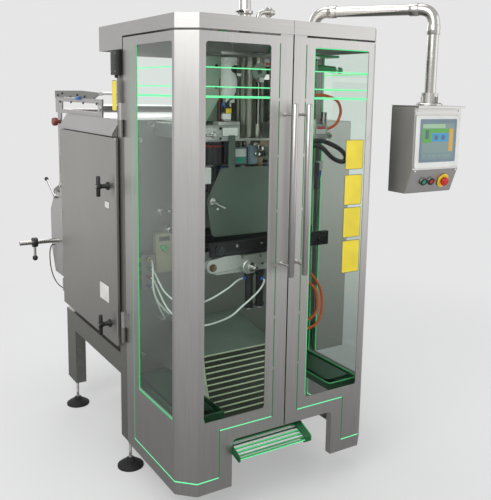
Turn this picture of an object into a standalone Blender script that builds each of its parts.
"""Vertical form fill sealer: a packaging machine behind a wrap-around safety guard.

The guard stands in front and its two doors wrap round the corners.  Behind it are the
electrical cabinet and the film unwinder, and an operator panel hangs on a swivel arm.
Metres, +Z up, +X to the right and +Y to the rear, seen by the operator.  Lengths along X
are measured from the machine's middle, along Y from the front skin, along Z from the floor.
"""
import math

import bmesh
import bpy
from mathutils import Matrix, Vector

# ---------------------------------------------------------------- driving dimensions
GUARD_WIDTH = 0.980
GUARD_TOP = 2.065
SKIRT_BOTTOM = 0.152
CORNER_CHAMFER = 0.068
ROOF_BAND = 0.055
ROOF_REAR = 0.870
HEADER_DROP = 0.110
SHEET = 0.003

DOOR_DEPTH = 0.035
DOOR_REAR = 0.575
DOOR_SPLIT = 0.006
DOOR_TOP_GAP = 0.008
CUTOUT_HALF_WIDTH = 0.260
CUTOUT_TOP = 0.360
CUTOUT_RADIUS = 0.020
WINDOW_LOW = 0.464
WINDOW_HIGH = 1.965
WINDOW_RADIUS = 0.012
FRONT_WINDOW = (0.106, 0.394)
SIDE_WINDOW = (0.088, 0.433)
SLOT = 0.005
SLOT_SIDE_Y = 0.488
SLOT_FOOT_X = 0.321
SLOT_SPLIT_X = 0.064
SLOT_LOW = 0.208
SLOT_STEP = 0.416
SLOT_TOP = 1.985
TAB_PITCH = 0.220
TAB = 0.012
PANE = 0.005
PANE_LAP = 0.014

HINGE_RADIUS = 0.010
HINGE_PIN_RADIUS = 0.005
HINGE_STANDOFF = 0.012
HINGE_SPLITS = (0.712, 1.652)
HINGE_HALF = 0.074

HANDLE_RADIUS = 0.0125
HANDLE_LOW = 1.040
HANDLE_HIGH = 1.741
HANDLE_REACH = 0.070
HANDLE_X = 0.034
STANDOFF_RADIUS = 0.006
STANDOFF_INSET = 0.044

POST_FRONT = 0.585
POST_DEPTH = 0.075
POST_WIDTH = 0.060
FRAME_WALL = 0.004
CABLE_HOLE_Z = 0.300
CABLE_HOLE_RADIUS = 0.015
BEAM_LOW = 0.460
BEAM_HIGH = 0.560
LEG_FRONT = 1.343
LEG_REAR = 1.485
BEAM_DEPTH = 0.050
PLATE_THICKNESS = 0.010
PLATE_LOW = 0.400
PLATE_HIGH = 1.650

CABINET_FRONT = 0.665
CABINET_REAR = 1.450
CABINET_LOW = 0.600
CABINET_HIGH = 1.575
CABINET_ROOF_RISE = 0.075
CABINET_ROOF_SLOPE = 0.040
CABINET_DOOR = 0.020
CABINET_DOOR_REAR = 1.460
LATCH_Y = 0.730
LATCH_HEIGHTS = (0.690, 1.345)
LATCH_SPAN = 0.085
LATCH_REACH = 0.048

BOX_REACH = 0.340
BOX_FRONT = 0.620
BOX_REAR = 1.120
BOX_LOW = 0.370
BOX_HIGH = 1.640

FOOT_RADIUS = 0.062
FOOT_HEIGHT = 0.030
STEM_RADIUS = 0.007
FRONT_FOOT_Y = 0.622
REAR_FOOT_Y = 1.412

CHUTE_LEFT = -0.255
CHUTE_RIGHT = 0.102
CHUTE_SLOPE = 0.500
CHUTE_RISE = 0.335
CHUTE_FRONT = 0.035
CHUTE_PLATE = 0.045
SLAT_PITCH = 0.031
SLAT_RADIUS = 0.006
NOSE_REACH = 0.060
NOSE_PITCH = 0.021
TRAY_INNER = 0.275
TRAY_OUTER = 0.450
TRAY_FRONT = 0.045
TRAY_LOW = 0.440
TRAY_DEPTH = 0.030

TUBE_Y = 0.330
TUBE_RADIUS = 0.062
TUBE_WALL = 0.002
TUBE_LOW = 1.195
TUBE_TOP = 1.952
SHELF_HALF = 0.245
SHELF_FRONT = 0.150
SHELF_Z = 1.930
SHELF_THICKNESS = 0.010
COLLAR_RADIUS = 0.125
COLLAR_HEIGHT = 0.070
PIPE_RADIUS = 0.025
PIPE_TOP = 2.290
PIPE_X = -0.030
GAS_PIPE_RADIUS = 0.012
ROOF_FLANGE = 0.090

CROSSHEAD_HALF = 0.330
CROSSHEAD_Y = 0.190
CROSSHEAD_DEPTH = 0.030
CROSSHEAD_LOW = 1.580
CROSSHEAD_HIGH = 1.645
SEAL_BAR_GAP = 0.010
SEAL_BAR_DEPTH = 0.022
SEAL_BAR_WIDTH = 0.026
SEAL_BAR_LOW = 1.215
PULL_ROLLER_RADIUS = 0.038
PULL_ROLLER_WIDTH = 0.050
PULL_Z = 1.430
JAW_Z = 1.140
JAW_HEIGHT = 0.070
JAW_DEPTH = 0.040
JAW_HALF = 0.300
JAW_OPEN = 0.048
GUIDE_X = 0.262
GUIDE_RADIUS = 0.012
GUIDE_FRONT = 0.120
TIE_HALF = 0.030
ARM_LOW = 1.010
DRIVE_Y = 0.165
CYLINDER_RADIUS = 0.022
CYLINDER_LENGTH = 0.150

REEL_Y = 1.720
REEL_Z = 0.900
REEL_SHAFT_RADIUS = 0.0125
REEL_SHAFT_REACH = 0.190
UNWINDER_X = 0.452
UNWINDER_PLATE = 0.008
RAIL_FRONT = 0.930
RAIL_REAR = 1.690
RAIL_HEIGHT = 0.085
ROLLER_RADIUS = 0.020
DANCER_Y = 1.640
DANCER_Z = 1.240
DANCER_ARM = 0.170

ARM_BASE = (0.430, 0.450)
ARM_END = (0.745, -0.025)
ARM_RADIUS = 0.025
ARM_HEIGHT = 0.100
ARM_BEND = 0.060
PANEL_HALF = 0.145
PANEL_FRONT = -0.100
PANEL_REAR = 0.050
PANEL_HIGH = 1.735
PANEL_BREAK = 1.455
PANEL_LOW = 1.345
PANEL_SLOPE = 0.040
SCREEN_HALF = 0.132
SCREEN_LOW = 1.465
SCREEN_HIGH = 1.695
SCREEN_THICKNESS = 0.006
BUTTON_RADIUS = 0.0115
BUTTON_XS = {"start_button": -0.055, "stop_button": -0.008, "emergency_stop": 0.069}

GAP = 0.0003
RUNNING = 0.0005
ROUND = 24

HALF = GUARD_WIDTH / 2
ROOF_LOW = GUARD_TOP - ROOF_BAND
DOOR_TOP = ROOF_LOW - DOOR_TOP_GAP
HEADER_LOW = GUARD_TOP - HEADER_DROP
POST_OUTER = HALF - SHEET - GAP
POST_INNER = HALF - POST_WIDTH
POST_REAR = POST_FRONT + POST_DEPTH
PLATE_FRONT = POST_FRONT + 0.015
HINGE_Y = (DOOR_REAR + POST_FRONT) / 2
PANEL_X = ARM_END[0] - 0.0155


# ---------------------------------------------------------------- scene and materials
def clear_scene():
    for item in list(bpy.data.objects):
        bpy.data.objects.remove(item, do_unlink=True)


def new_collection(name):
    collection = bpy.data.collections.new(name)
    bpy.context.scene.collection.children.link(collection)
    return collection


clear_scene()
PARTS = new_collection("vertical_form_fill_sealer")
CUTTERS = new_collection("cutters")


def link(name, data, group):
    item = bpy.data.objects.new(name, data)
    group.objects.link(item)
    if group is CUTTERS:
        item.hide_render = True
        item.display_type = "WIRE"
    return item


def finish(item, colour, roughness=0.4, metallic=0.0, alpha=1.0):
    """Give a part its own Principled material."""
    material = bpy.data.materials.new(item.name)
    material.use_nodes = True
    shader = material.node_tree.nodes["Principled BSDF"]
    shader.inputs["Base Color"].default_value = (*colour, 1.0)
    shader.inputs["Roughness"].default_value = roughness
    shader.inputs["Metallic"].default_value = metallic
    shader.inputs["Alpha"].default_value = alpha
    item.data.materials.append(material)
    return item


def stainless(item):
    return finish(item, (0.62, 0.61, 0.58), 0.35, 1.0)


def dark_plastic(item):
    return finish(item, (0.03, 0.03, 0.035), 0.45)


# ---------------------------------------------------------------- solid shapes
def block(name, low, high, group=CUTTERS):
    """A box between two opposite corners, with its origin at its centre."""
    low, high = Vector(low), Vector(high)
    mesh = bpy.data.meshes.new(name)
    builder = bmesh.new()
    bmesh.ops.create_cube(builder, size=1.0, matrix=Matrix.Diagonal((*(high - low), 1.0)))
    builder.to_mesh(mesh)
    builder.free()
    item = link(name, mesh, group)
    item.location = (low + high) / 2
    return item


def rod(name, start, end, radius, group=CUTTERS, sides=ROUND, end_radius=None):
    """A round bar, or a cone with an end_radius, from start to end."""
    start, end = Vector(start), Vector(end)
    mesh = bpy.data.meshes.new(name)
    builder = bmesh.new()
    bmesh.ops.create_cone(builder, cap_ends=True, segments=sides, radius1=radius,
                          radius2=radius if end_radius is None else end_radius,
                          depth=(end - start).length)
    builder.to_mesh(mesh)
    builder.free()
    item = link(name, mesh, group)
    item.location = (start + end) / 2
    item.rotation_mode = "QUATERNION"
    item.rotation_quaternion = (end - start).to_track_quat("Z", "Y")
    mesh.shade_smooth()
    mesh.set_sharp_from_angle(angle=math.radians(40))
    return item


PLANES = {
    "XY": Matrix.Identity(3),
    "XZ": Matrix(((1, 0, 0), (0, 0, -1), (0, 1, 0))),
    "YZ": Matrix(((0, 0, 1), (1, 0, 0), (0, 1, 0))),
}


def curve_to_mesh(item, group):
    """Swap a curve object for the mesh it makes, with its caps welded."""
    bpy.context.view_layer.update()
    mesh = bpy.data.meshes.new_from_object(item.evaluated_get(bpy.context.evaluated_depsgraph_get()))
    mesh.materials.clear()
    builder = bmesh.new()
    builder.from_mesh(mesh)
    bmesh.ops.remove_doubles(builder, verts=builder.verts, dist=0.00002)
    bmesh.ops.recalc_face_normals(builder, faces=builder.faces)
    builder.to_mesh(mesh)
    builder.free()
    name = item.name
    place = item.matrix_world.copy()
    bpy.data.objects.remove(item)
    solid = link(name, mesh, group)
    solid.name = name
    solid.matrix_world = place
    return solid


def slab(name, outline, start, end, plane="XY", group=CUTTERS):
    """A flat outline, extruded along its plane's normal from start to end.

    The plane's normal is +Z for XY, +X for YZ and -Y for XZ, whose start and end
    are still given along +Y.
    """
    if plane == "XZ":
        start, end = -end, -start
    curve = bpy.data.curves.new(name, "CURVE")
    curve.dimensions = "2D"
    curve.fill_mode = "BOTH"
    curve.extrude = (end - start) / 2
    spline = curve.splines.new("POLY")
    spline.points.add(len(outline) - 1)
    for point, (u, v) in zip(spline.points, outline):
        point.co = (u, v, 0.0, 1.0)
    spline.use_cyclic_u = True
    item = link(name, curve, group)
    turn = PLANES[plane]
    shift = turn @ Vector((0.0, 0.0, (start + end) / 2))
    item.matrix_world = Matrix.Translation(shift) @ turn.to_4x4()
    return curve_to_mesh(item, group)


def pipe(name, points, radius, group=CUTTERS, resolution=4):
    """A round bar that follows a line of points."""
    curve = bpy.data.curves.new(name, "CURVE")
    curve.dimensions = "3D"
    curve.bevel_depth = radius
    curve.bevel_resolution = resolution
    curve.use_fill_caps = True
    spline = curve.splines.new("POLY")
    spline.points.add(len(points) - 1)
    for point, place in zip(spline.points, points):
        point.co = (*place, 1.0)
    item = link(name, curve, group)
    return curve_to_mesh(item, group)


def turned(name, profile, place, group=PARTS, steps=ROUND):
    """A turned piece about Z: radius and height pairs run down its outer side."""
    mesh = bpy.data.meshes.new(name)
    points = [(radius, 0.0, height) for radius, height in profile]
    mesh.from_pydata(points, [(n, n + 1) for n in range(len(points) - 1)], [])
    item = link(name, mesh, group)
    item.location = place
    screw = item.modifiers.new("turn", "SCREW")
    screw.axis = "Z"
    screw.steps = steps
    screw.render_steps = steps
    screw.use_merge_vertices = True
    screw.merge_threshold = 0.00005
    screw.use_smooth_shade = True
    return item


def cut(item, *tools):
    for tool in tools:
        boolean = item.modifiers.new(tool.name, "BOOLEAN")
        boolean.operation = "DIFFERENCE"
        boolean.object = tool
    return item


def fuse(item, *tools):
    for tool in tools:
        boolean = item.modifiers.new(tool.name, "BOOLEAN")
        boolean.operation = "UNION"
        boolean.object = tool
    return item


def weld(item):
    """Close the hair cracks that a cut leaves where slanted sheets meet."""
    joint = item.modifiers.new("weld", "WELD")
    joint.merge_threshold = 0.00005
    return item


def soften(item, width, segments=2):
    bevel = item.modifiers.new("edges", "BEVEL")
    bevel.width = width
    bevel.segments = segments
    bevel.limit_method = "ANGLE"
    bevel.angle_limit = math.radians(50)
    bevel.use_clamp_overlap = True
    return item


def arc(centre, radius, start, end, count):
    """Points on a circular arc, with its angles in degrees."""
    turns = [math.radians(start + (end - start) * n / count) for n in range(count + 1)]
    return [(centre[0] + radius * math.cos(turn), centre[1] + radius * math.sin(turn))
            for turn in turns]


def rounded(low, high, radius, count=4):
    """A rectangle with round corners, counterclockwise."""
    (u0, v0), (u1, v1) = low, high
    return (arc((u1 - radius, v0 + radius), radius, -90, 0, count)
            + arc((u1 - radius, v1 - radius), radius, 0, 90, count)
            + arc((u0 + radius, v1 - radius), radius, 90, 180, count)
            + arc((u0 + radius, v0 + radius), radius, 180, 270, count))


def inset(outline, distance):
    """Move each side of a counterclockwise outline inward by the same distance."""
    points = [Vector(point) for point in outline]
    moved = []
    for n, point in enumerate(points):
        before = (point - points[n - 1]).normalized()
        after = (points[(n + 1) % len(points)] - point).normalized()
        inward = Vector((-before.y, before.x)), Vector((-after.y, after.x))
        lean = 1 + inward[0].dot(inward[1])
        moved.append(tuple(point + distance * (inward[0] + inward[1]) / lean))
    return moved


def mirrored(outline, side):
    """An outline on the right (side 1) or its mirror image on the left (side -1)."""
    if side > 0:
        return outline
    return [(-u, v) for u, v in reversed(outline)]


def rounded_path(corners, radius, count=5):
    """A line of points through corners, each inner one replaced by a round bend."""
    points = [Vector(corners[0])]
    for before, corner, after in zip(corners, corners[1:], corners[2:]):
        before, corner, after = Vector(before), Vector(corner), Vector(after)
        entry = (before - corner).normalized()
        leave = (after - corner).normalized()
        angle = entry.angle(leave)
        reach = radius / math.tan(angle / 2)
        centre = corner + (entry + leave).normalized() * radius / math.sin(angle / 2)
        first = corner + entry * reach - centre
        last = corner + leave * reach - centre
        axis = first.cross(last).normalized()
        sweep = first.angle(last)
        for n in range(count + 1):
            points.append(centre + Matrix.Rotation(sweep * n / count, 3, axis) @ first)
    points.append(Vector(corners[-1]))
    return points


def pair(name, side):
    return ("right_" if side > 0 else "left_") + name


def span(side, near, far):
    """Low and high X for a distance range from the middle, on one side."""
    return (near, far) if side > 0 else (-far, -near)


# ---------------------------------------------------------------- guard doors
def guard_band(outer, inner, rear, split):
    """Plan outline of the right half of the guard between two offsets from its skin."""
    lean = math.tan(math.radians(22.5))

    def offset_line(distance):
        return [(split, distance),
                (HALF - CORNER_CHAMFER - lean * distance, distance),
                (HALF - distance, CORNER_CHAMFER + lean * distance),
                (HALF - distance, rear)]

    return offset_line(outer) + offset_line(inner)[::-1]


def cutout(name, grow, side):
    """The opening under the doors, where the chute comes out, grown by a margin."""
    width = CUTOUT_HALF_WIDTH + grow
    top = CUTOUT_TOP + grow
    outline = rounded((-width, -0.1), (width, top), CUTOUT_RADIUS + grow, 4)
    return slab(f"{name}_{side}", outline, -0.05, 0.10, "XZ")


def window_slots(side):
    """Narrow slots round the windows, with tabs along the one beside the split."""
    name = pair("slot", side)
    half = SLOT / 2
    through = SHEET + 0.002
    tools = []
    low, high = span(side, HALF - through, HALF + 0.002)
    tools.append(block(name + "_side", (low, SLOT_SIDE_Y - half, SLOT_LOW - half),
                       (high, SLOT_SIDE_Y + half, SLOT_TOP)))
    wrap = mirrored(guard_band(-0.002, through, SLOT_SIDE_Y - half + 0.001, SLOT_FOOT_X), side)
    tools.append(slab(name + "_wrap", wrap, SLOT_LOW - half, SLOT_LOW + half))
    low, high = span(side, SLOT_FOOT_X - half, SLOT_FOOT_X + half)
    tools.append(block(name + "_foot", (low, -0.002, SLOT_LOW - half + 0.0005),
                       (high, through, SLOT_STEP + half)))
    low, high = span(side, SLOT_SPLIT_X + half + 0.0005, SLOT_FOOT_X - half + 0.001)
    tools.append(block(name + "_step", (low, -0.002, SLOT_STEP - half),
                       (high, through, SLOT_STEP + half - 0.0005)))
    low, high = span(side, SLOT_SPLIT_X - half, SLOT_SPLIT_X + half)
    start = SLOT_STEP - half - 0.0005
    count = round((SLOT_TOP - start) / TAB_PITCH)
    pitch = (SLOT_TOP - start) / count
    for n in range(count):
        tools.append(block(f"{name}_split_{n}", (low, -0.002, start + pitch * n),
                           (high, through, start + pitch * (n + 1) - TAB)))
    return tools


def hinge_half(name, axis, low, high, leaf_low, leaf_high, skin_x):
    """A barrel and the leaf that joins it to the sheet beside it."""
    barrel = rod(name + "_barrel", (*axis, low), (*axis, high), HINGE_RADIUS, sides=16)
    edge = sorted((axis[0], skin_x))
    leaf = block(name + "_leaf", (edge[0], leaf_low, low + 0.001), (edge[1], leaf_high, high - 0.001))
    return barrel, leaf


def guard_door(side):
    name = pair("guard_door", side)
    split = DOOR_SPLIT / 2
    band = mirrored(guard_band(0.0, DOOR_DEPTH, DOOR_REAR, split), side)
    hollow_band = guard_band(SHEET, DOOR_DEPTH + 0.01, DOOR_REAR - SHEET, split + SHEET)
    skin = slab(name, band, SKIRT_BOTTOM, DOOR_TOP, group=PARTS)
    hollow = slab(name + "_hollow", mirrored(hollow_band, side),
                  SKIRT_BOTTOM + SHEET, DOOR_TOP - SHEET)
    cut(hollow, cutout("cutout_margin", SHEET, side))
    weld(cut(skin, hollow))
    weld(cut(skin, cutout("cutout", 0.0, side)))
    low, high = span(side, *FRONT_WINDOW)
    front = slab(name + "_front_window", rounded((low, WINDOW_LOW), (high, WINDOW_HIGH), WINDOW_RADIUS),
                 -0.01, SHEET + 0.005, "XZ")
    low, high = span(side, HALF - SHEET - 0.005, HALF + 0.01)
    flank = slab(name + "_side_window",
                 rounded((SIDE_WINDOW[0], WINDOW_LOW), (SIDE_WINDOW[1], WINDOW_HIGH), WINDOW_RADIUS),
                 low, high, "YZ")
    weld(cut(skin, front, flank))
    for slot in window_slots(side):
        weld(cut(skin, slot))
    axis = (side * (HALF + HINGE_STANDOFF), HINGE_Y)
    inner = side * (HALF - SHEET / 2)
    for n, height in enumerate(HINGE_SPLITS):
        barrel, leaf = hinge_half(f"{name}_hinge_{n}", axis, height + GAP, height + HINGE_HALF,
                                  HINGE_Y - 0.034, HINGE_Y - 0.0075, inner)
        link_plate = block(f"{name}_hinge_{n}_web",
                           (min(axis[0], inner + side * 0.004), HINGE_Y - 0.010, height + 0.0013),
                           (max(axis[0], inner + side * 0.004), HINGE_Y - 0.004,
                            height + HINGE_HALF - 0.0013))
        bore = rod(f"{name}_bore_{n}", (*axis, height - 0.01), (*axis, height + 0.052),
                   HINGE_PIN_RADIUS + RUNNING, sides=16)
        trim_low = HALF + 0.004 if side > 0 else -HALF - 0.05
        trim_high = HALF + 0.05 if side > 0 else -HALF - 0.004
        slim = block(f"{name}_trim_{n}", (trim_low, HINGE_Y - 0.05, height - 0.01),
                     (trim_high, HINGE_Y - 0.0101, height + HINGE_HALF + 0.01))
        cut(leaf, slim)
        for piece in (leaf, link_plate, barrel):
            weld(fuse(skin, piece))
        weld(cut(skin, bore))
    return stainless(skin)


def guard_panes(side):
    lap = PANE_LAP
    low, high = span(side, FRONT_WINDOW[0] - lap, FRONT_WINDOW[1] + lap)
    front = slab(pair("front_pane", side),
                 rounded((low, WINDOW_LOW - lap), (high, WINDOW_HIGH + lap), 0.01, 2),
                 SHEET + GAP, SHEET + GAP + PANE, "XZ", PARTS)
    low, high = span(side, HALF - SHEET - GAP - PANE, HALF - SHEET - GAP)
    flank = slab(pair("side_pane", side),
                 rounded((SIDE_WINDOW[0] - lap, WINDOW_LOW - lap),
                         (SIDE_WINDOW[1] + lap, WINDOW_HIGH + lap), 0.01, 2),
                 low, high, "YZ", PARTS)
    for pane in (front, flank):
        finish(pane, (0.75, 0.88, 0.82), 0.05, 0.0, 0.3)
    return front, flank


def guard_handle(side):
    x = side * HANDLE_X
    bar = rod(pair("door_handle", side), (x, -HANDLE_REACH, HANDLE_LOW), (x, -HANDLE_REACH, HANDLE_HIGH),
              HANDLE_RADIUS, PARTS)
    for n, height in enumerate((HANDLE_LOW + STANDOFF_INSET, HANDLE_HIGH - STANDOFF_INSET)):
        fuse(bar, rod(f"{bar.name}_standoff_{n}", (x, -HANDLE_REACH, height), (x, -GAP, height),
                      STANDOFF_RADIUS, sides=16))
    return stainless(bar)


# ---------------------------------------------------------------- frame and covers
def side_frame(side):
    """A welded box section: front post, base beam and rear leg, with a cable hole inside."""
    leg_low = SKIRT_BOTTOM
    outline = [(POST_FRONT, leg_low), (POST_REAR, leg_low), (POST_REAR, BEAM_LOW),
               (LEG_FRONT, BEAM_LOW), (LEG_FRONT, leg_low), (LEG_REAR, leg_low),
               (LEG_REAR, BEAM_HIGH), (POST_REAR, BEAM_HIGH),
               (POST_REAR, GUARD_TOP - SHEET - GAP), (POST_FRONT, GUARD_TOP - SHEET - GAP)]
    low, high = span(side, POST_INNER, POST_OUTER)
    frame = slab(pair("side_frame", side), outline, low, high, "YZ", PARTS)
    low, high = span(side, POST_INNER + FRAME_WALL, POST_OUTER - FRAME_WALL)
    hollow = slab(pair("side_frame_hollow", side), inset(outline, FRAME_WALL), low, high, "YZ")
    middle = (POST_FRONT + POST_REAR) / 2
    entry = rod(pair("cable_hole", side), (side * (POST_INNER - 0.01), middle, CABLE_HOLE_Z),
                (side * (POST_INNER + 0.01), middle, CABLE_HOLE_Z), CABLE_HOLE_RADIUS)
    cut(frame, hollow, entry)
    axis = (side * (HALF + HINGE_STANDOFF), HINGE_Y)
    inner = side * (POST_OUTER - FRAME_WALL / 2)
    for n, height in enumerate(HINGE_SPLITS):
        barrel, leaf = hinge_half(f"{frame.name}_hinge_{n}", axis, height - HINGE_HALF, height - GAP,
                                  POST_FRONT + 0.001, HINGE_Y + 0.034, inner)
        slim_low = HALF + 0.004 if side > 0 else -HALF - 0.05
        slim_high = HALF + 0.05 if side > 0 else -HALF - 0.004
        slim = block(f"{frame.name}_trim_{n}", (slim_low, HINGE_Y + 0.0101, height - HINGE_HALF - 0.01),
                     (slim_high, HINGE_Y + 0.05, height + 0.01))
        cut(leaf, slim)
        pin = rod(f"{frame.name}_pin_{n}", (*axis, height - 0.03), (*axis, height + 0.048),
                  HINGE_PIN_RADIUS, sides=16)
        fuse(frame, leaf, barrel, pin)
    return stainless(frame)


def cross_beam(name, front):
    low = (-POST_INNER + GAP, front, BEAM_LOW)
    high = (POST_INNER - GAP, front + BEAM_DEPTH, BEAM_HIGH)
    beam = block(name, low, high, PARTS)
    cut(beam, block(name + "_hollow", (low[0] - 0.01, low[1] + FRAME_WALL, low[2] + FRAME_WALL),
                    (high[0] + 0.01, high[1] - FRAME_WALL, high[2] - FRAME_WALL)))
    return stainless(beam)


def guard_roof():
    corner = guard_band(0.0, SHEET, ROOF_REAR, 0.0)[1:4]
    plan = corner + [(-u, v) for u, v in reversed(corner)]
    roof = slab("guard_roof", plan, ROOF_LOW, GUARD_TOP, group=PARTS)
    header = block("header", (-HALF, POST_FRONT, HEADER_LOW), (HALF, ROOF_REAR, ROOF_LOW + 0.01))
    hollow = slab("guard_roof_hollow", inset(plan, SHEET), HEADER_LOW - 0.01, GUARD_TOP - SHEET)
    opening = rod("roof_opening", (0, TUBE_Y, GUARD_TOP - 0.05), (0, TUBE_Y, GUARD_TOP + 0.05),
                  TUBE_RADIUS + 0.010)
    fuse(roof, header)
    cut(roof, hollow, opening)
    return stainless(roof)


def mounting_plate():
    plate = block("mounting_plate", (-POST_INNER + GAP, PLATE_FRONT, PLATE_LOW),
                  (POST_INNER - GAP, PLATE_FRONT + PLATE_THICKNESS, PLATE_HIGH), PARTS)
    return finish(plate, (0.45, 0.50, 0.47), 0.5, 0.3)


def safety_switch():
    box = block("safety_switch", (-POST_OUTER - 0.024, POST_FRONT + 0.010, HEADER_LOW - 0.110),
                (-POST_OUTER - GAP, POST_FRONT + 0.090, HEADER_LOW - 0.002), PARTS)
    soften(box, 0.003, 1)
    return finish(box, (0.10, 0.10, 0.11), 0.5)


def levelling_foot(name, x, y):
    top = SKIRT_BOTTOM - GAP
    profile = [(0, top), (STEM_RADIUS, top), (STEM_RADIUS, FOOT_HEIGHT + 0.012),
               (0.020, FOOT_HEIGHT + 0.012), (0.022, FOOT_HEIGHT),
               (FOOT_RADIUS * 0.55, FOOT_HEIGHT - 0.004),
               (FOOT_RADIUS, 0.009), (FOOT_RADIUS, 0.0), (0, 0.0)]
    foot = turned(name, profile, (x, y, 0.0))
    return finish(foot, (0.02, 0.02, 0.02), 0.7)


# ---------------------------------------------------------------- electrical cabinet
def cabinet_hinge_axis():
    return (-HALF - CABINET_DOOR / 2, CABINET_DOOR_REAR + 0.012)


def cabinet_shell():
    left = -HALF + GAP * 2
    right = HALF - 0.015
    low = (left, CABINET_FRONT, CABINET_LOW)
    high = (right, CABINET_REAR, CABINET_HIGH)
    shell = block("cabinet_shell", low, high, PARTS)
    plinth = block("plinth", (-HALF + 0.030, CABINET_FRONT + 0.025, BEAM_HIGH + GAP),
                   (HALF - 0.030, CABINET_REAR - 0.030, CABINET_LOW + 0.002))
    hollow = block("cabinet_hollow", (left - 0.01, low[1] + SHEET, low[2] + SHEET),
                   (right - SHEET, high[1] - SHEET, high[2] - SHEET))
    under = block("plinth_hollow", (-HALF + 0.034, CABINET_FRONT + 0.029, BEAM_HIGH - 0.01),
                  (HALF - 0.034, CABINET_REAR - 0.034, CABINET_LOW))
    fuse(shell, plinth)
    cut(shell, hollow, under)
    axis = cabinet_hinge_axis()
    for n, height in enumerate((CABINET_LOW + 0.20, CABINET_HIGH - 0.20)):
        web = block(f"cabinet_hinge_web_{n}", (axis[0], CABINET_DOOR_REAR + 0.004, height - 0.049),
                    (left + 0.012, axis[1] + 0.008, height - 0.001))
        leaf = block(f"cabinet_hinge_leaf_{n}", (left + 0.001, CABINET_REAR - 0.010, height - 0.048),
                     (left + 0.010, axis[1] + 0.004, height - 0.002))
        barrel = rod(f"cabinet_hinge_barrel_{n}", (*axis, height - 0.050), (*axis, height - GAP),
                     0.008, sides=16)
        pin = rod(f"cabinet_hinge_pin_{n}", (*axis, height - 0.02), (*axis, height + 0.034), 0.004,
                  sides=12)
        fuse(shell, leaf, web, barrel, pin)
    weld(shell)
    return stainless(shell)


def cabinet_roof():
    left = -HALF - CABINET_DOOR - 0.002
    right = HALF - 0.015
    low = CABINET_HIGH + GAP
    high = CABINET_HIGH + CABINET_ROOF_RISE
    outline = [(left, low), (right, low), (right, high), (left + CABINET_ROOF_SLOPE, high),
               (left, low + 0.010)]
    roof = slab("cabinet_roof", outline, POST_REAR + 0.003, CABINET_REAR, "XZ", PARTS)
    inner = [(left + SHEET, low - 0.01), (right - SHEET, low - 0.01), (right - SHEET, high - SHEET),
             (left + CABINET_ROOF_SLOPE + SHEET * 0.6, high - SHEET), (left + SHEET, low + 0.009)]
    cut(roof, slab("cabinet_roof_hollow", inner, POST_REAR + 0.003 + SHEET, CABINET_REAR - SHEET, "XZ"))
    return stainless(roof)


def cabinet_door():
    left = -HALF - CABINET_DOOR
    right = -HALF - GAP
    low = (left, POST_REAR - 0.020, CABINET_LOW)
    high = (right, CABINET_DOOR_REAR, CABINET_HIGH - 0.004)
    door = block("cabinet_door", low, high, PARTS)
    soften(door, 0.006, 2)
    cut(door, block("cabinet_door_hollow", (left + SHEET, low[1] + 0.012, low[2] + 0.012),
                    (right + 0.01, high[1] - 0.012, high[2] - 0.012)))
    axis = cabinet_hinge_axis()
    for n, height in enumerate((CABINET_LOW + 0.20, CABINET_HIGH - 0.20)):
        web = block(f"cabinet_door_web_{n}", (axis[0] - 0.004, CABINET_DOOR_REAR - 0.008, height + 0.001),
                    (axis[0] + 0.004, axis[1], height + 0.049))
        barrel = rod(f"cabinet_door_barrel_{n}", (*axis, height + GAP), (*axis, height + 0.050),
                     0.008, sides=16)
        bore = rod(f"cabinet_door_bore_{n}", (*axis, height - 0.01), (*axis, height + 0.037),
                   0.004 + RUNNING, sides=12)
        fuse(door, web, barrel)
        weld(door)
        cut(door, bore)
    for n, height in enumerate(LATCH_HEIGHTS):
        cut(door, rod(f"latch_hole_{n}", (left - 0.01, LATCH_Y, height), (left + 0.05, LATCH_Y, height),
                      0.006 + RUNNING, sides=16))
    return stainless(door)


def cabinet_latch(name, height):
    """A black T-handle whose shank turns in the door."""
    skin = -HALF - CABINET_DOOR
    knob_x = skin - LATCH_REACH
    latch = rod(name, (knob_x, LATCH_Y, height - LATCH_SPAN / 2),
                (knob_x, LATCH_Y, height + LATCH_SPAN / 2),
                0.0085, PARTS, 16)
    stem = rod(name + "_stem", (knob_x, LATCH_Y, height), (skin - 0.004, LATCH_Y, height), 0.009,
               sides=16)
    rose = rod(name + "_rose", (skin - 0.008, LATCH_Y, height), (skin - GAP, LATCH_Y, height), 0.019,
               sides=20)
    shank = rod(name + "_shank", (skin - 0.004, LATCH_Y, height), (skin + 0.012, LATCH_Y, height), 0.006,
                sides=16)
    fuse(latch, stem, rose, shank)
    return dark_plastic(latch)


def drive_enclosure():
    """The closed box on the right flank, open only at its cable entry underneath."""
    low = (POST_OUTER + GAP, BOX_FRONT, BOX_LOW)
    high = (HALF + BOX_REACH, BOX_REAR, BOX_HIGH)
    box = block("drive_enclosure", low, high, PARTS)
    soften(box, 0.006, 2)
    cut(box, block("drive_enclosure_hollow", (low[0] + SHEET, low[1] + SHEET, low[2] + SHEET),
                   (high[0] - SHEET, high[1] - SHEET, high[2] - SHEET)))
    entry = (HALF + BOX_REACH / 2, (BOX_FRONT + BOX_REAR) / 2)
    cut(box, rod("cable_entry", (*entry, BOX_LOW - 0.01), (*entry, BOX_LOW + 0.02), 0.025))
    return stainless(box)


# ---------------------------------------------------------------- chute and trays
def chute_height(y):
    return CHUTE_RISE + CHUTE_SLOPE * y


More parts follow.
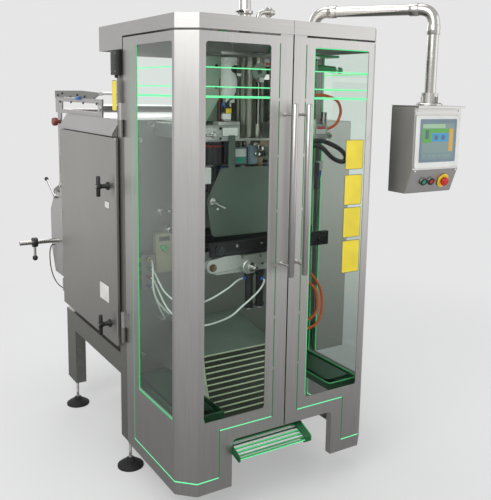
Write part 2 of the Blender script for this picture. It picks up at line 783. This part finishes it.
def slatted_chute(name, front, rear, pitch, slat):
    """Two side plates with round slats between them, on the chute's slope."""
    plate = 0.004
    outline = [(front, chute_height(front) - CHUTE_PLATE), (rear, chute_height(rear) - CHUTE_PLATE),
               (rear, chute_height(rear)), (front, chute_height(front))]
    chute = slab(name, outline, CHUTE_LEFT, CHUTE_LEFT + plate, "YZ", PARTS)
    fuse_list = [slab(name + "_right_plate", outline, CHUTE_RIGHT - plate, CHUTE_RIGHT, "YZ")]
    count = int((rear - front - pitch * 0.6) / pitch) + 1
    for n in range(count):
        y = front + pitch * (n + 0.6)
        z = chute_height(y) - slat - 0.004
        fuse_list.append(rod(f"{name}_slat_{n}", (CHUTE_LEFT + plate / 2, y, z),
                             (CHUTE_RIGHT - plate / 2, y, z),
                             slat, sides=8))
    return fuse(chute, *fuse_list)


def floor_tray(side):
    low, high = span(side, TRAY_INNER, TRAY_OUTER)
    rear = PLATE_FRONT - GAP
    tray = block(pair("floor_tray", side), (low, TRAY_FRONT, TRAY_LOW),
                 (high, rear, TRAY_LOW + TRAY_DEPTH), PARTS)
    cut(tray, block(tray.name + "_hollow", (low + SHEET, TRAY_FRONT + SHEET, TRAY_LOW + SHEET),
                    (high - SHEET, rear - SHEET, TRAY_LOW + TRAY_DEPTH + 0.01)))
    notch_low, notch_high = span(side, POST_INNER - 0.002, HALF)
    cut(tray, block(tray.name + "_post_notch", (notch_low, POST_FRONT - 0.003, TRAY_LOW - 0.01),
                    (notch_high, rear + 0.01, TRAY_LOW + TRAY_DEPTH + 0.01)))
    return finish(tray, (0.10, 0.45, 0.28), 0.4, 0.2)


# ---------------------------------------------------------------- forming section
def collar_shelf():
    """A shelf that reaches forward from a strip held between the posts."""
    top = SHELF_Z + SHELF_THICKNESS
    shelf = block("collar_shelf", (-SHELF_HALF, SHELF_FRONT, SHELF_Z),
                  (SHELF_HALF, PLATE_FRONT + 0.010, top), PARTS)
    strip = block("shelf_strip", (-POST_INNER + GAP, PLATE_FRONT - 0.005, SHELF_Z - 0.002),
                  (POST_INNER - GAP, PLATE_FRONT + 0.040, top + 0.002))
    hole = rod("shelf_hole", (0, TUBE_Y, SHELF_Z - 0.02), (0, TUBE_Y, SHELF_Z + 0.03),
               TUBE_RADIUS + RUNNING,
               sides=32)
    fuse(shelf, strip)
    cut(shelf, hole)
    return stainless(shelf)


def forming_tube():
    tube = rod("forming_tube", (0, TUBE_Y, TUBE_LOW), (0, TUBE_Y, TUBE_TOP), TUBE_RADIUS, PARTS, 32)
    seat = SHELF_Z + SHELF_THICKNESS + GAP
    flange = rod("tube_flange", (0, TUBE_Y, seat), (0, TUBE_Y, TUBE_TOP), TUBE_RADIUS + 0.012, sides=32)
    bore = rod("tube_bore", (0, TUBE_Y, TUBE_LOW - 0.01), (0, TUBE_Y, TUBE_TOP + 0.01),
               TUBE_RADIUS - TUBE_WALL, sides=32)
    fuse(tube, flange)
    cut(tube, bore)
    return stainless(tube)


def forming_collar():
    """The flared shoulder that folds the film round the tube."""
    base = TUBE_TOP + GAP
    lean = 0.75
    collar = rod("forming_collar", (0, TUBE_Y, base), (0, TUBE_Y, base + COLLAR_HEIGHT),
                 TUBE_RADIUS + 0.010, PARTS, 32, COLLAR_RADIUS * lean)
    bore = rod("collar_bore", (0, TUBE_Y, base - 0.001), (0, TUBE_Y, base + COLLAR_HEIGHT + 0.001),
               TUBE_RADIUS + 0.004, sides=32, end_radius=COLLAR_RADIUS * lean - 0.006)
    cut(collar, bore)
    return finish(collar, (0.75, 0.75, 0.74), 0.15, 1.0)


def product_pipe():
    """The filling pipe and the gas pipe beside it, on one flange over the roof opening."""
    seat = GUARD_TOP + GAP
    flange = rod("product_pipe", (0, TUBE_Y, seat), (0, TUBE_Y, seat + 0.008), ROOF_FLANGE, PARTS)
    filling = rod("filling_pipe", (PIPE_X, TUBE_Y, TUBE_LOW + 0.10), (PIPE_X, TUBE_Y, PIPE_TOP),
                  PIPE_RADIUS, sides=20)
    ferrule = rod("filling_ferrule", (PIPE_X, TUBE_Y, seat + 0.050), (PIPE_X, TUBE_Y, seat + 0.062),
                  PIPE_RADIUS + 0.007, sides=20)
    gas_x = 0.035
    gas = pipe("gas_pipe",
               rounded_path([(gas_x, TUBE_Y, GUARD_TOP - 0.02), (gas_x, TUBE_Y, GUARD_TOP + 0.060),
                             (gas_x + 0.100, TUBE_Y, GUARD_TOP + 0.060)], 0.025, 4),
               GAS_PIPE_RADIUS)
    bore = rod("filling_bore", (PIPE_X, TUBE_Y, TUBE_LOW), (PIPE_X, TUBE_Y, PIPE_TOP + 0.01),
               PIPE_RADIUS - 0.002,
               sides=20)
    fuse(flange, filling, ferrule, gas)
    cut(flange, bore)
    return stainless(flange)


def crosshead():
    rear = PLATE_FRONT - GAP
    bar = block("crosshead", (-CROSSHEAD_HALF, CROSSHEAD_Y, CROSSHEAD_LOW),
                (CROSSHEAD_HALF, CROSSHEAD_Y + CROSSHEAD_DEPTH, CROSSHEAD_HIGH), PARTS)
    for side in (-1, 1):
        low, high = span(side, CROSSHEAD_HALF - 0.020, CROSSHEAD_HALF)
        fuse(bar, block(pair("crosshead_arm", side), (low, CROSSHEAD_Y + 0.005, CROSSHEAD_LOW + 0.001),
                        (high - 0.0005 * (side > 0), rear, CROSSHEAD_HIGH - 0.001)))
    return finish(bar, (0.60, 0.62, 0.60), 0.4, 0.8)


def vertical_seal_bar():
    rear = TUBE_Y - TUBE_RADIUS - SEAL_BAR_GAP
    bar = block("vertical_seal_bar", (-SEAL_BAR_WIDTH / 2, rear - SEAL_BAR_DEPTH, SEAL_BAR_LOW),
                (SEAL_BAR_WIDTH / 2, rear, CROSSHEAD_LOW - GAP), PARTS)
    fuse(bar, block("seal_bar_foot", (-0.030, CROSSHEAD_Y + 0.003, CROSSHEAD_LOW - 0.022),
                    (0.030, rear - 0.002, CROSSHEAD_LOW - GAP * 1.5)))
    return finish(bar, (0.55, 0.50, 0.42), 0.35, 1.0)


def vertical_seal_cylinder():
    x, y = -0.170, CROSSHEAD_Y + CROSSHEAD_DEPTH / 2
    base = CROSSHEAD_HIGH + GAP
    body = block("vertical_seal_cylinder", (x - 0.024, y - 0.014, base),
                 (x + 0.024, y + 0.034, base + 0.014), PARTS)
    fuse(body, rod("actuator_barrel", (x, y + 0.010, base + 0.010), (x, y + 0.010, base + 0.210), 0.021),
         rod("actuator_head", (x, y + 0.010, base + 0.200), (x, y + 0.010, base + 0.235), 0.025))
    return finish(body, (0.80, 0.80, 0.78), 0.35, 0.6)


def pull_unit(side):
    """The geared head that carries one film pull roller, bolted to the mounting plate."""
    x = side * (TUBE_RADIUS + PULL_ROLLER_RADIUS + 0.001)
    rear = PLATE_FRONT - GAP
    roller_rear = TUBE_Y + PULL_ROLLER_WIDTH / 2
    head = block(pair("pull_unit", side), (x - 0.035, roller_rear + 0.030, PULL_Z - 0.045),
                 (x + 0.035, rear, PULL_Z + 0.045), PARTS)
    fuse(head, rod(pair("pull_shaft", side), (x, roller_rear - PULL_ROLLER_WIDTH + 0.004, PULL_Z),
                   (x, roller_rear + 0.040, PULL_Z), 0.009, sides=16))
    return finish(head, (0.06, 0.06, 0.065), 0.45, 0.2)


def pull_roller(side):
    x = side * (TUBE_RADIUS + PULL_ROLLER_RADIUS + 0.001)
    front = TUBE_Y - PULL_ROLLER_WIDTH / 2
    roller = rod(pair("pull_roller", side), (x, front, PULL_Z), (x, front + PULL_ROLLER_WIDTH, PULL_Z),
                 PULL_ROLLER_RADIUS, PARTS, 28)
    cut(roller,
        rod(roller.name + "_bore", (x, front - 0.01, PULL_Z),
            (x, front + PULL_ROLLER_WIDTH + 0.01, PULL_Z),
                    0.009 + RUNNING, sides=16))
    return finish(roller, (0.05, 0.15, 0.45), 0.6)


# ---------------------------------------------------------------- sealing jaws
def jaw_frame():
    """Two guide rods from the mounting plate, tied together in front."""
    rear = PLATE_FRONT - GAP
    bar = block("jaw_frame", (-JAW_HALF, GUIDE_FRONT, JAW_Z - TIE_HALF),
                (JAW_HALF, GUIDE_FRONT + 0.022, JAW_Z + TIE_HALF), PARTS)
    for side in (-1, 1):
        x = side * GUIDE_X
        fuse(bar,
             rod(pair("guide_rod", side), (x, GUIDE_FRONT + 0.010, JAW_Z), (x, rear, JAW_Z), GUIDE_RADIUS,
                      sides=20))
    return finish(bar, (0.55, 0.55, 0.55), 0.3, 1.0)


def jaw(name, side):
    """A sealing jaw in front of the film (side -1) or behind it (side 1)."""
    face = TUBE_Y + side * (JAW_OPEN + 0.0005)
    low, high = sorted((face, face + side * JAW_DEPTH))
    bar = block(name, (-JAW_HALF, low, JAW_Z - JAW_HEIGHT / 2), (JAW_HALF, high, JAW_Z + JAW_HEIGHT / 2),
                PARTS)
    soften(bar, 0.003, 1)
    for hand in (-1, 1):
        x = hand * GUIDE_X
        cut(bar, rod(f"{name}_bore_{hand}", (x, low - 0.01, JAW_Z), (x, high + 0.01, JAW_Z),
                     GUIDE_RADIUS + RUNNING, sides=20))
    return finish(bar, (0.05, 0.05, 0.05), 0.35, 0.6)


def jaw_drive():
    """The aluminium arm under the tie bar with its two hanging air cylinders."""
    arm = block("jaw_drive", (-0.270, GUIDE_FRONT + 0.004, ARM_LOW),
                (0.050, DRIVE_Y + 0.025, JAW_Z - TIE_HALF - GAP),
                PARTS)
    for n, x in enumerate((-0.090, -0.035)):
        fuse(arm,
             rod(f"air_cylinder_{n}", (x, DRIVE_Y, ARM_LOW + 0.010),
                 (x, DRIVE_Y, ARM_LOW - CYLINDER_LENGTH),
                      CYLINDER_RADIUS, sides=20))
    return finish(arm, (0.70, 0.71, 0.70), 0.3, 0.9)


def jaw_guard_panel():
    low, high = TUBE_LOW - 0.015, 1.470
    ear = 0.170
    outline = [(-0.190, low), (0.190, low), (0.250, low + 0.160), (0.200, high), (ear + 0.015, high),
               (ear + 0.015, CROSSHEAD_LOW + 0.025), (ear - 0.015, CROSSHEAD_LOW + 0.025),
               (ear - 0.015, high),
               (-ear + 0.015, high), (-ear + 0.015, CROSSHEAD_LOW + 0.025),
               (-ear - 0.015, CROSSHEAD_LOW + 0.025), (-ear - 0.015, high), (-0.200, high),
               (-0.250, low + 0.160)]
    panel = slab("jaw_guard_panel", outline, CROSSHEAD_Y - GAP - PANE, CROSSHEAD_Y - GAP, "XZ", PARTS)
    return finish(panel, (0.70, 0.82, 0.76), 0.08, 0.0, 0.35)


def valve_manifold():
    rear = PLATE_FRONT - GAP
    x = -0.385
    body = block("valve_manifold", (x - 0.035, rear - 0.045, 0.880), (x + 0.035, rear, 1.045), PARTS)
    for n in range(4):
        z = 0.900 + 0.041 * n
        fuse(body, rod(f"fitting_{n}", (x, rear - 0.070, z), (x, rear - 0.040, z), 0.008, sides=12))
    return finish(body, (0.55, 0.55, 0.53), 0.4, 0.5)


# ---------------------------------------------------------------- film unwinder
def unwinder_frame():
    """Two side plates behind the cabinet, with rails forward over its roof and tie bars."""
    seat = CABINET_HIGH + CABINET_ROOF_RISE + GAP
    rail_high = seat + RAIL_HEIGHT
    rail_outline = [(RAIL_FRONT, seat), (RAIL_REAR, seat), (RAIL_REAR, rail_high),
                    (RAIL_FRONT, rail_high)]
    frame = None
    for side in (-1, 1):
        low, high = span(side, UNWINDER_X, UNWINDER_X + UNWINDER_PLATE)
        tag = pair("unwinder", side)
        reel = slab(tag + "_reel_plate",
                    [(REEL_Y - 0.205, REEL_Z - 0.070), (REEL_Y - 0.090, REEL_Z - 0.200),
                     (REEL_Y + 0.060, REEL_Z - 0.200), (REEL_Y + 0.130, REEL_Z - 0.060),
                     (REEL_Y + 0.130, REEL_Z + 0.170), (REEL_Y + 0.030, REEL_Z + 0.290),
                     (REEL_Y - 0.150, REEL_Z + 0.290), (REEL_Y - 0.205, REEL_Z + 0.180)],
                    low, high, "YZ")
        bracket = block(tag + "_bracket", (low, CABINET_REAR + GAP, REEL_Z + 0.010),
                        (high, REEL_Y - 0.190, REEL_Z + 0.110))
        upright = block(tag + "_upright", (low, DANCER_Y - 0.045, REEL_Z + 0.250),
                        (high, DANCER_Y + 0.015, rail_high))
        window = block(tag + "_rail_window", (low - 0.01, RAIL_FRONT + 0.060, seat + 0.022),
                       (high + 0.01, DANCER_Y - 0.070, rail_high - 0.022))
        if frame is None:
            frame = slab("unwinder_frame", rail_outline, low, high, "YZ", PARTS)
        else:
            fuse(frame, slab(tag + "_rail", rail_outline, low, high, "YZ"))
        fuse(frame, reel, bracket, upright)
        cut(frame, window)
        y, z = roller_place()
        cut(frame,
            rod(tag + "_roller_bore", (low - 0.01, y, z), (high + 0.01, y, z), 0.006 + RUNNING, sides=16))
        cut(frame, rod(tag + "_shaft_bore", (low - 0.01, REEL_Y, REEL_Z), (high + 0.01, REEL_Y, REEL_Z),
                       REEL_SHAFT_RADIUS + RUNNING, sides=ROUND),
            rod(tag + "_dancer_bore", (low - 0.01, DANCER_Y, DANCER_Z), (high + 0.01, DANCER_Y, DANCER_Z),
                0.006 + RUNNING, sides=16))
    reach = UNWINDER_X + UNWINDER_PLATE / 2
    fuse(frame,
         rod("lower_tie", (-reach, REEL_Y - 0.150, REEL_Z + 0.050),
             (reach, REEL_Y - 0.150, REEL_Z + 0.050), 0.012, sides=16),
         rod("upper_tie", (-reach, DANCER_Y - 0.030, seat + 0.015),
             (reach, DANCER_Y - 0.030, seat + 0.015), 0.010, sides=16))
    weld(frame)
    return stainless(frame)


def roller_place():
    return RAIL_FRONT + 0.030, CABINET_HIGH + CABINET_ROOF_RISE + GAP + RAIL_HEIGHT / 2


def idler_roller(name):
    y, z = roller_place()
    reach = UNWINDER_X - GAP * 3
    roller = rod(name, (-reach, y, z), (reach, y, z), ROLLER_RADIUS, PARTS, 20)
    stub = UNWINDER_X + UNWINDER_PLATE
    fuse(roller, rod(name + "_shaft", (-stub, y, z), (stub, y, z), 0.006, sides=16))
    return finish(roller, (0.70, 0.70, 0.70), 0.25, 1.0)


def reel_shaft():
    """The film reel's shaft with the two cones that centre the reel's core."""
    left = -HALF - REEL_SHAFT_REACH
    right = UNWINDER_X + UNWINDER_PLATE + 0.020
    shaft = rod("reel_shaft", (left, REEL_Y, REEL_Z), (right, REEL_Y, REEL_Z), REEL_SHAFT_RADIUS, PARTS)
    for side in (-1, 1):
        fuse(shaft,
             rod(pair("reel_cone", side), (side * 0.330, REEL_Y, REEL_Z), (side * 0.255, REEL_Y, REEL_Z),
                        0.052, sides=ROUND, end_radius=0.030))
    return finish(shaft, (0.70, 0.70, 0.70), 0.3, 1.0)


def reel_brake():
    """The hand knob that clamps the reel on the shaft's free end."""
    x = -HALF - REEL_SHAFT_REACH * 0.55
    knob = rod("reel_brake_knob", (x - 0.014, REEL_Y, REEL_Z), (x + 0.014, REEL_Y, REEL_Z), 0.028, PARTS)
    fuse(knob,
         rod("brake_grip", (x, REEL_Y, REEL_Z - 0.020), (x, REEL_Y, REEL_Z - 0.085), 0.008, sides=12),
         rod("brake_ball", (x, REEL_Y, REEL_Z - 0.075), (x, REEL_Y, REEL_Z - 0.105), 0.015, sides=16))
    cut(knob, rod("brake_bore", (x - 0.03, REEL_Y, REEL_Z), (x + 0.03, REEL_Y, REEL_Z),
                  REEL_SHAFT_RADIUS + GAP, sides=ROUND))
    return dark_plastic(knob)


def dancer_arm():
    """Two levers and the roller between their ends; it keeps the film taut."""
    reach = UNWINDER_X - 0.002
    tip_y = DANCER_Y + DANCER_ARM * math.cos(math.radians(20))
    tip_z = DANCER_Z - DANCER_ARM * math.sin(math.radians(20))
    arm = rod("dancer_arm", (-reach + 0.002, tip_y, tip_z), (reach - 0.002, tip_y, tip_z), 0.015, PARTS,
              20)
    lean = Vector((tip_y - DANCER_Y, tip_z - DANCER_Z)).normalized()
    across = Vector((-lean.y, lean.x)) * 0.012
    start, end = Vector((DANCER_Y, DANCER_Z)) - lean * 0.014, Vector((tip_y, tip_z)) + lean * 0.020
    outline = [tuple(start - across), tuple(end - across), tuple(end + across), tuple(start + across)]
    for side in (-1, 1):
        low, high = span(side, reach - 0.008, reach)
        fuse(arm, slab(pair("dancer_lever", side), outline, low, high, "YZ"))
    stub = UNWINDER_X + UNWINDER_PLATE
    fuse(arm,
         rod("dancer_shaft", (-stub, DANCER_Y, DANCER_Z), (stub, DANCER_Y, DANCER_Z), 0.006, sides=16))
    return finish(arm, (0.65, 0.65, 0.65), 0.3, 1.0)


# ---------------------------------------------------------------- operator panel
def panel_arm():
    """A bent pipe: up from its swivel on the roof, across, and down to the panel."""
    base = GUARD_TOP + GAP
    high = GUARD_TOP + ARM_HEIGHT
    corners = [(*ARM_BASE, base + 0.005), (*ARM_BASE, high), (*ARM_END, high),
               (*ARM_END, PANEL_HIGH + 0.020)]
    arm = pipe("panel_arm", rounded_path(corners, ARM_BEND, 5), ARM_RADIUS, PARTS, 4)
    fuse(arm, rod("arm_foot", (*ARM_BASE, base), (*ARM_BASE, base + 0.014), 0.045))
    return stainless(arm)


def slope_axis():
    return Vector((0.0, -(PANEL_BREAK - PANEL_LOW), -PANEL_SLOPE)).normalized()


def button_place(x):
    middle = Vector((PANEL_X + x, PANEL_FRONT + PANEL_SLOPE / 2, (PANEL_BREAK + PANEL_LOW) / 2))
    return middle


def panel_box():
    outline = [(PANEL_FRONT, PANEL_BREAK), (PANEL_FRONT + PANEL_SLOPE, PANEL_LOW),
               (PANEL_REAR, PANEL_LOW),
               (PANEL_REAR, PANEL_HIGH), (PANEL_FRONT, PANEL_HIGH)]
    box = slab("panel_box", outline, PANEL_X - PANEL_HALF, PANEL_X + PANEL_HALF, "YZ", PARTS)
    soften(box, 0.004, 2)
    hollow = slab("panel_hollow", inset(outline, SHEET), PANEL_X - PANEL_HALF + SHEET,
                  PANEL_X + PANEL_HALF - SHEET,
                  "YZ")
    cut(box, hollow)
    sleeve = rod("panel_sleeve", (*ARM_END, PANEL_HIGH - 0.002), (*ARM_END, PANEL_HIGH + 0.060), 0.0375)
    socket = rod("panel_socket", (*ARM_END, PANEL_HIGH + 0.019), (*ARM_END, PANEL_HIGH + 0.080),
                 ARM_RADIUS + GAP * 2)
    fuse(box, sleeve)
    cut(box, socket)
    out = slope_axis()
    for name, x in BUTTON_XS.items():
        place = button_place(x)
        wide = 0.030 if name == "emergency_stop" else 0.0155
        rise = 0.004 if name == "emergency_stop" else 0.006
        fuse(box, rod(name + "_boss", place - out * 0.002, place + out * rise, wide))
        cut(box, rod(name + "_bore", place - out * 0.020, place + out * 0.020, BUTTON_RADIUS + RUNNING))
    return stainless(box)


def panel_screen():
    screen = slab("panel_screen",
                  rounded((PANEL_X - SCREEN_HALF, SCREEN_LOW), (PANEL_X + SCREEN_HALF, SCREEN_HIGH),
                                          0.008, 2),
                  PANEL_FRONT - GAP - SCREEN_THICKNESS, PANEL_FRONT - GAP, "XZ", PARTS)
    return finish(screen, (0.80, 0.82, 0.82), 0.3)


def push_button(name, x, colour):
    out = slope_axis()
    place = button_place(x)
    inner = -0.010
    outer = 0.010 if name != "emergency_stop" else 0.020
    button = rod(name, place + out * inner, place + out * outer, BUTTON_RADIUS, PARTS)
    if name == "emergency_stop":
        fuse(button,
             rod(name + "_head", place + out * 0.013, place + out * 0.026, 0.020, end_radius=0.017))
    fuse(button, rod(name + "_collar", place + out * (inner - 0.003), place + out * (inner + 0.001),
                     BUTTON_RADIUS + 0.003))
    return finish(button, colour, 0.35)


# ---------------------------------------------------------------- hoses
def smooth_route(points, step):
    """Evenly spaced points on a smooth curve through the route's own points."""
    route = [Vector(point) for point in points]
    route = [2 * route[0] - route[1]] + route + [2 * route[-1] - route[-2]]
    samples = []
    for a, b, c, d in zip(route, route[1:], route[2:], route[3:]):
        count = max(2, round((c - b).length / step))
        for n in range(count):
            t = n / count
            samples.append(0.5 * (2 * b + (c - a) * t + (2 * a - 5 * b + 4 * c - d) * t * t
                                  + (3 * b - a - 3 * c + d) * t ** 3))
    samples.append(route[-2])
    return samples


AIR_HOSE_RADIUS = 0.004
AIR_HOSE_A = [(-0.385, 0.529, 0.982), (-0.385, 0.515, 0.982), (-0.382, 0.495, 0.978),
              (-0.345, 0.400, 0.870),
              (-0.280, 0.300, 0.800), (-0.200, 0.180, 0.800), (-0.135, 0.105, 0.880),
              (-0.094, 0.112, 0.933),
              (-0.090, 0.128, 0.935), (-0.090, 0.1419, 0.935)]
AIR_HOSE_B = [(-0.385, 0.529, 0.941), (-0.385, 0.515, 0.941), (-0.382, 0.495, 0.936),
              (-0.330, 0.370, 0.800),
              (-0.230, 0.270, 0.735), (-0.120, 0.160, 0.740), (-0.050, 0.095, 0.830),
              (-0.036, 0.108, 0.898),
              (-0.035, 0.128, 0.902), (-0.035, 0.1419, 0.902)]
HOT_HOSE_RADIUS = 0.006
HOT_HOSE = [(0.250, 0.1890, 1.615), (0.250, 0.172, 1.615), (0.255, 0.152, 1.622), (0.285, 0.130, 1.700),
            (0.345, 0.125, 1.745), (0.390, 0.140, 1.690), (0.390, 0.150, 1.580), (0.345, 0.145, 1.350),
            (0.325, 0.150, 1.050), (0.340, 0.200, 0.900), (0.345, 0.320, 0.840), (0.340, 0.480, 0.850),
            (0.340, 0.580, 0.852), (0.340, 0.5990, 0.852)]


def hose(name, route, radius, colour):
    tube = pipe(name, smooth_route(route, radius * 5), radius, PARTS, 2)
    return finish(tube, colour, 0.4)


# ---------------------------------------------------------------- assembly
def build():
    for side in (-1, 1):
        guard_door(side)
        guard_panes(side)
        guard_handle(side)
        side_frame(side)
        floor_tray(side)
        pull_unit(side)
        pull_roller(side)
        leg = side * (POST_INNER + POST_OUTER) / 2
        levelling_foot(pair("front_foot", side), leg, FRONT_FOOT_Y)
        levelling_foot(pair("rear_foot", side), leg, REAR_FOOT_Y)
    cross_beam("front_cross_beam", PLATE_FRONT + PLATE_THICKNESS + GAP)
    cross_beam("rear_cross_beam", LEG_FRONT + 0.040)
    guard_roof()
    mounting_plate()
    safety_switch()
    cabinet_shell()
    cabinet_roof()
    cabinet_door()
    for name, height in zip(("lower_latch", "upper_latch"), LATCH_HEIGHTS):
        cabinet_latch(name, height)
    drive_enclosure()
    chute = slatted_chute("discharge_chute", CHUTE_FRONT + GAP, PLATE_FRONT - GAP, SLAT_PITCH,
                          SLAT_RADIUS)
    stainless(chute)
    nose = slatted_chute("discharge_nose", -NOSE_REACH, CHUTE_FRONT, NOSE_PITCH, 0.0055)
    finish(nose, (0.05, 0.55, 0.25), 0.3)
    collar_shelf()
    forming_tube()
    forming_collar()
    product_pipe()
    crosshead()
    vertical_seal_bar()
    vertical_seal_cylinder()
    jaw_frame()
    jaw("front_jaw", -1)
    jaw("rear_jaw", 1)
    jaw_drive()
    jaw_guard_panel()
    valve_manifold()
    unwinder_frame()
    idler_roller("idler_roller")
    reel_shaft()
    reel_brake()
    dancer_arm()
    panel_arm()
    panel_box()
    panel_screen()
    for name, colour in (("start_button", (0.05, 0.45, 0.12)), ("stop_button", (0.60, 0.03, 0.02)),
                         ("emergency_stop", (0.70, 0.04, 0.02))):
        push_button(name, BUTTON_XS[name], colour)
    hose("air_hose_a", AIR_HOSE_A, AIR_HOSE_RADIUS, (0.85, 0.85, 0.83))
    hose("air_hose_b", AIR_HOSE_B, AIR_HOSE_RADIUS, (0.85, 0.85, 0.83))
    hose("heater_cable", HOT_HOSE, HOT_HOSE_RADIUS, (0.85, 0.30, 0.05))


def centre_on_floor():
    """Hang everything on one datum so the origin is the middle of the machine's footprint."""
    bpy.context.view_layer.update()
    graph = bpy.context.evaluated_depsgraph_get()
    corners = []
    for item in PARTS.objects:
        shape = item.evaluated_get(graph)
        mesh = shape.to_mesh()
        corners += [shape.matrix_world @ vertex.co for vertex in mesh.vertices]
        shape.to_mesh_clear()
    middle = [(min(c[k] for c in corners) + max(c[k] for c in corners)) / 2 for k in (0, 1)]
    datum = bpy.data.objects.new("datum", None)
    PARTS.objects.link(datum)
    for item in list(PARTS.objects) + list(CUTTERS.objects):
        if item is not datum:
            item.parent = datum
    datum.location = (-middle[0], -middle[1], 0.0)


build()
centre_on_floor()
